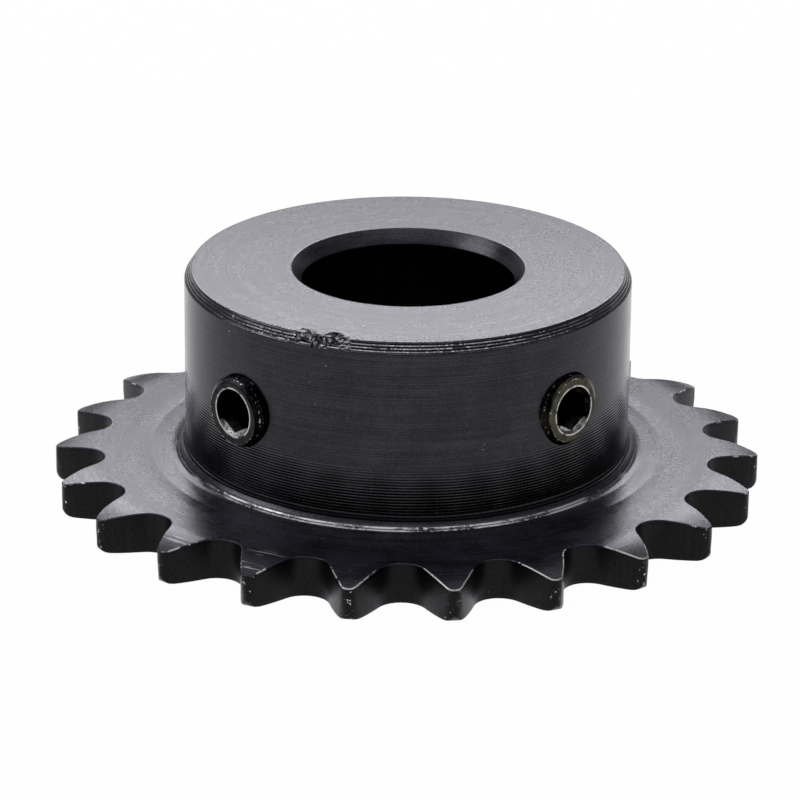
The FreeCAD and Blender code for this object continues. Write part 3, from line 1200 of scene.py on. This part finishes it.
def rubbed_and_highlit_ring(name, colours, share):
    """The crests of turned rings: bare steel in long dashes, partly where the finish is rubbed off and
    partly painted highlight, most towards the front.
    """
    paint = Paint(name)
    dashes = paint.noise(paint.stretch((420, 420, 3000)), detail=4.0, roughness=0.65)
    # Bare steel here is partly rubbing and partly painted highlight, growing towards the front.
    worn = paint.step(paint.axes()["Y"], *RUBBED_AND_HIGHLIT_FRONT, -0.12, 0.03)
    bare = paint.step(paint.add(dashes, worn), 0.42, 0.56, 0.0, share)
    dots = paint.noise(paint.place, scale=3600, detail=2.0, roughness=0.7)
    bare = paint.maths("MAXIMUM", bare, paint.step(paint.add(dots, worn), 0.57, 0.62))
    grain = paint.noise(paint.stretch((900, 900, 9000)), detail=3.0)
    paint.finish(paint.blend(bare, colours.oxide_thin, colours.bare), 0.35, paint.bump(grain, 0.004 * MM))
    return paint.material


def bare_steel(colours):
    """The bottom of a chip: broken, uneven bare steel."""
    paint = Paint("bare_steel")
    grain = paint.noise(paint.place, scale=4200, detail=4.0, roughness=0.7)
    colour = paint.blend(paint.step(grain, 0.5, 0.6), colours.oxide_thin, colours.bare)
    paint.finish(colour, paint.step(grain, 0.3, 0.7, 0.28, 0.5), paint.bump(grain, 0.02 * MM))
    return paint.material


def along_screw(paint, sizes, screw, side):
    """Coordinates along and across one of the screws."""
    to_axis = to_screw_place(sizes, screw, side).inverted()
    return paint.axes(paint.stretch((1, 1, 1), rotation=to_axis.to_euler(), location=to_axis.translation))


def screw_steel(name, tint, colours, sizes, screw, side):
    """Dark alloy steel, rubbed bright round the rim, bright round the socket's mouth with wear and painted
    highlight, with painted glints on the thread's crests and painted shade down the thread.
    """
    paint = Paint(name)
    axes = along_screw(paint, sizes, screw, side)
    radius = paint.measure("LENGTH", paint.vector(Y=axes["Y"], Z=axes["Z"]))
    rings = paint.noise(paint.stretch((9000, 3000, 1), paint.vector(X=radius, Y=axes["X"])), detail=2.0)
    patches = paint.noise(paint.place, scale=1500, detail=4.0, roughness=0.65)
    specks = paint.noise(paint.place, scale=4200, detail=3.0, roughness=0.7)

    # The socket's mouth: bare steel that is partly wear and partly painted highlight; the thread's crests:
    # painted glints.
    mouth = paint.times(paint.band(radius, *MOUTH_WEAR_AND_HIGHLIGHT_BAND), paint.step(patches, 0.36, 0.5))
    crest = paint.step(radius, *CREST_GLINT_BAND, 0.0, 0.5)
    rim = paint.add(paint.band(radius, *RIM_BAND), crest)
    outer = paint.times(rim, paint.step(specks, 0.56, 0.64, 0.0, 0.7))
    worn = paint.maths("ADD", mouth, outer, clamp=True)

    face_at = screw_face(sizes, screw, side)
    # Painted shade: the thread below the face is made nearly black and its reflection dulled.
    threaded = paint.step(paint.maths("SUBTRACT", face_at, axes["X"]), *THREAD_SHADE_BEGINS)
    colour = paint.blend(paint.step(patches, 0.35, 0.7), darker(tint, 0.3), tint)
    colour = paint.blend(threaded, colour, darker(tint, 0.12))
    colour = paint.blend(worn, colour, colours.bare)
    rough = paint.step(patches, 0.3, 0.7, 0.28, 0.45)
    paint.finish(colour, rough, paint.bump(paint.add(rings, patches), 0.004 * MM))
    paint.feed(paint.shader, {"Specular Tint": paint.blend(threaded, (1.0, 1.0, 1.0), (0.25, 0.25, 0.25))})
    return paint.material


def shaded_socket_steel(name, tint, colours, sizes, screw, side):
    """The walls of a socket, darkened with painted shade, with a patch at the bottom of its mouth that is
    bare steel and painted highlight.
    """
    paint = Paint(name)
    axes = along_screw(paint, sizes, screw, side)
    patches = paint.noise(paint.place, scale=1800, detail=4.0, roughness=0.65)
    grain = paint.noise(paint.place, scale=4200, detail=4.0, roughness=0.7)
    face_at = screw_face(sizes, screw, side)
    mouth = paint.step(paint.maths("SUBTRACT", face_at, axes["X"]), *SOCKET_BARE_REACH)
    below = paint.times(paint.step(axes["Z"], *SOCKET_LIT_BOTTOM), mouth)
    bare = paint.times(below, paint.step(grain, 0.4, 0.62, 0.15, 0.85))
    # Painted shade: the socket's walls are made nearly black; the patch at the bottom is bare steel and
    # painted highlight.
    colour = paint.blend(paint.step(patches, 0.5, 0.72), darker(tint, 0.03), darker(tint, 0.4))
    colour = paint.blend(bare, colour, colours.bare)
    paint.finish(colour, paint.step(patches, 0.3, 0.7, 0.3, 0.5), paint.bump(patches, 0.01 * MM))
    # The walls' reflection is dulled as painted shade, and kept full at the lit bottom.
    paint.feed(paint.shader, {"Specular Tint": paint.blend(below, (0.2, 0.2, 0.2), (1.0, 1.0, 1.0))})
    return paint.material


def floor_material():
    """White floor: the camera and the metal see it nearly white, and the object's shadow stays."""
    material = bpy.data.materials.new("studio_floor")
    nodes = NodeLayout(material)
    diffuse = nodes.tree.nodes["Principled BSDF"]
    nodes.feed(diffuse, {"Base Color": (0.86, 0.86, 0.86, 1), "Roughness": 0.9, "Specular IOR Level": 0.0})
    white = nodes.node("Emission", {"Strength": 1.0}).outputs["Emission"]
    path = nodes.node("LightPath").outputs
    whitened = 0.0
    for ray, share in FLOOR_WHITENING:
        whitened = nodes.add(nodes.times(path[ray], share), whitened)
    mixed = nodes.choose(whitened, diffuse.outputs["BSDF"], white)
    nodes.feed(nodes.tree.nodes["Material Output"], {"Surface": mixed})
    return material


# The stage

# How much of the floor's colour is plain white for each kind of ray
FLOOR_WHITENING = (("Is Camera Ray", 0.98), ("Is Glossy Ray", 0.95), ("Is Transmission Ray", 0.95))

# Where the room that the metal sees begins to turn white and is white, looking towards the back and
# upwards: 0 is across and 1 straight that way
BRIGHT_BEHIND = (0.45, 0.88)
BRIGHT_ABOVE = (math.sin(math.radians(30)), math.sin(math.radians(66)))

# The soft lamps: where each hangs, what it is aimed at, its width and its height
LAMPS = {
    "top": ((0, -0.06, 0.48), (0, 0, 0), 0.5, 0.36),
    "back": ((0, 0.26, 0.146), (0, 0, 0.01), 0.3, 0.06),
    "left": ((-0.36, -0.02, 0.265), (0, 0, 0.01), 0.24, 0.24),
}


def make_world(stage):
    """Even light for surfaces; the camera sees white, and metal sees white behind and grey elsewhere."""
    world = bpy.data.worlds.new("studio")
    nodes = NodeLayout(world)
    light = (*stage.light_colour, 1)
    lit = nodes.tree.nodes["Background"]
    nodes.feed(lit, {"Color": light, "Strength": stage.fill})

    looking = nodes.node("TexCoord").outputs["Generated"]
    axes = nodes.node("SeparateXYZ", {"Vector": looking}).outputs
    behind = nodes.step(axes["Y"], *BRIGHT_BEHIND, stage.room_grey, 1.0, curve="SMOOTHSTEP")
    above = nodes.step(axes["Z"], *BRIGHT_ABOVE, stage.low_band_grey, 1.0, curve="SMOOTHSTEP")
    mirrored = nodes.node("Background", {"Color": light, "Strength": nodes.times(behind, above)})
    white = nodes.node("Background", {"Color": (1, 1, 1, 1), "Strength": 1.0})

    path = nodes.node("LightPath").outputs
    sharp = nodes.maths("MAXIMUM", path["Is Glossy Ray"], path["Is Transmission Ray"])
    in_metal = nodes.choose(sharp, lit.outputs["Background"], mirrored.outputs["Background"])
    in_view = nodes.choose(path["Is Camera Ray"], in_metal, white.outputs["Background"])
    nodes.feed(nodes.tree.nodes["World Output"], {"Surface": in_view})
    bpy.context.scene.world = world


def soft_lamp(name, colour, place, aim, width, height, power):
    lamp = bpy.data.lights.new(name, "AREA")
    lamp.color = colour
    lamp.shape = "RECTANGLE"
    lamp.size = width
    lamp.size_y = height
    lamp.energy = power
    holder = bpy.data.objects.new(name, lamp)
    holder.location = place
    holder.rotation_euler = (Vector(aim) - Vector(place)).to_track_quat("-Z", "Y").to_euler()
    holder.visible_camera = False
    bpy.context.scene.collection.objects.link(holder)


def make_camera(stage):
    camera = bpy.data.cameras.new("photo_camera")
    camera.lens = stage.lens
    camera.sensor_width = 36.0
    camera.clip_start = 0.01
    holder = bpy.data.objects.new("photo_camera", camera)
    level = stage.camera_distance * math.cos(stage.camera_elevation)
    place = polar(level, stage.camera_turn, stage.camera_distance * math.sin(stage.camera_elevation))
    facing = (Vector(stage.camera_aim) - place).to_track_quat("-Z", "Y").to_matrix().to_4x4()
    holder.matrix_world = Matrix.Translation(place) @ facing @ Matrix.Rotation(stage.camera_roll, 4, "Z")
    bpy.context.scene.collection.objects.link(holder)
    bpy.context.scene.camera = holder


def make_floor(stage):
    bm = bmesh.new()
    bmesh.ops.create_grid(bm, x_segments=1, y_segments=1, size=stage.floor_size / 2)
    new_piece("studio_floor", bm, [floor_material()])


# Operators, one for each kind of piece and one for the stage

class SPROCKET_OT_body(bpy.types.Operator):
    """Builds the toothed plate and hub, with its screw holes and its chips."""

    bl_idname = "sprocket.body"
    bl_label = "Build the sprocket's body"

    def execute(self, context):
        sizes = context.scene.sprocket_sizes
        screw = context.scene.set_screw_sizes
        colours = context.scene.finish_colours
        wall, face, tooth, hole = [oxide(name, colours, sizes) for name in OXIDE_SURFACES]
        chamfer_rings_rubbed_and_highlit = rubbed_and_highlit_ring("chamfer_rings_rubbed_and_highlit", colours, 0.5)
        foot_rings_rubbed_and_highlit = rubbed_and_highlit_ring("foot_rings_rubbed_and_highlit", colours, 1.0)
        chipped = bare_steel(colours)
        materials = [wall, face, tooth, worn_edge(colours), chamfer_rings_rubbed_and_highlit, foot_rings_rubbed_and_highlit, chipped]
        piece = new_piece("sprocket_body_detailed", body_mesh(sizes), materials)
        cut_away(piece, body_cutter(sizes, screw, [hole, chipped]))
        bite_ragged_patch(piece, sizes, chipped)
        shade(piece)
        sharpen_round(piece, chipped)
        finish_piece(piece, "black_oxide_steel", BODY)
        return {"FINISHED"}


class SPROCKET_OT_set_screws(bpy.types.Operator):
    """Builds the two set screws in the hub."""

    bl_idname = "sprocket.set_screws"
    bl_label = "Build the set screws"

    def execute(self, context):
        sizes = context.scene.sprocket_sizes
        screw = context.scene.set_screw_sizes
        colours = context.scene.finish_colours
        tints = {-1: colours.screw, 1: colours.screw_olive}
        for name, side in SCREWS:
            steel = screw_steel(name + "_steel", tints[side], colours, sizes, screw, side)
            socket = shaded_socket_steel(name + "_socket", tints[side], colours, sizes, screw, side)
            piece = set_screw(sizes, screw, name, side, [steel, socket])
            finish_piece(piece, "set_screw_steel", name)
        return {"FINISHED"}


class SPROCKET_OT_stage(bpy.types.Operator):
    """Sets up the floor, the soft lamps, the surroundings and the camera."""

    bl_idname = "sprocket.stage"
    bl_label = "Set up the stage"

    def execute(self, context):
        stage = context.scene.stage_settings
        context.scene.view_settings.view_transform = "Standard"
        make_floor(stage)
        make_world(stage)
        powers = {"top": stage.top_light, "back": stage.back_light, "left": stage.left_light}
        for name, (place, aim, width, height) in LAMPS.items():
            soft_lamp(name + "_lamp", stage.light_colour, place, aim, width, height, powers[name])
        make_camera(stage)
        return {"FINISHED"}


class SPROCKET_PT_sidebar(bpy.types.Panel):
    """Lists the sprocket's sizes, finishes and operators."""

    bl_label = "Chain sprocket"
    bl_idname = "SPROCKET_PT_sidebar"
    bl_space_type = "VIEW_3D"
    bl_region_type = "UI"
    bl_category = "Sprocket"

    def draw(self, context):
        for operator in (SPROCKET_OT_body, SPROCKET_OT_set_screws, SPROCKET_OT_stage):
            self.layout.operator(operator.bl_idname)
        for name in GROUPS:
            box = self.layout.box()
            group = getattr(context.scene, name)
            for key in group.__annotations__:
                box.prop(group, key)


GROUPS = {
    "sprocket_sizes": SprocketSizes,
    "set_screw_sizes": SetScrewSizes,
    "finish_colours": FinishColours,
    "stage_settings": StageSettings,
}
CLASSES = (
    *GROUPS.values(),
    SPROCKET_OT_body,
    SPROCKET_OT_set_screws,
    SPROCKET_OT_stage,
    SPROCKET_PT_sidebar,
)


def register():
    for made in CLASSES:
        bpy.utils.register_class(made)
    for name, group in GROUPS.items():
        setattr(bpy.types.Scene, name, PointerProperty(type=group))


def unregister():
    for name in GROUPS:
        delattr(bpy.types.Scene, name)
    for made in reversed(CLASSES):
        bpy.utils.unregister_class(made)


def main():
    register()
    bpy.ops.sprocket.body()
    bpy.ops.sprocket.set_screws()
    bpy.ops.sprocket.stage()


if __name__ == "__main__":
    main()
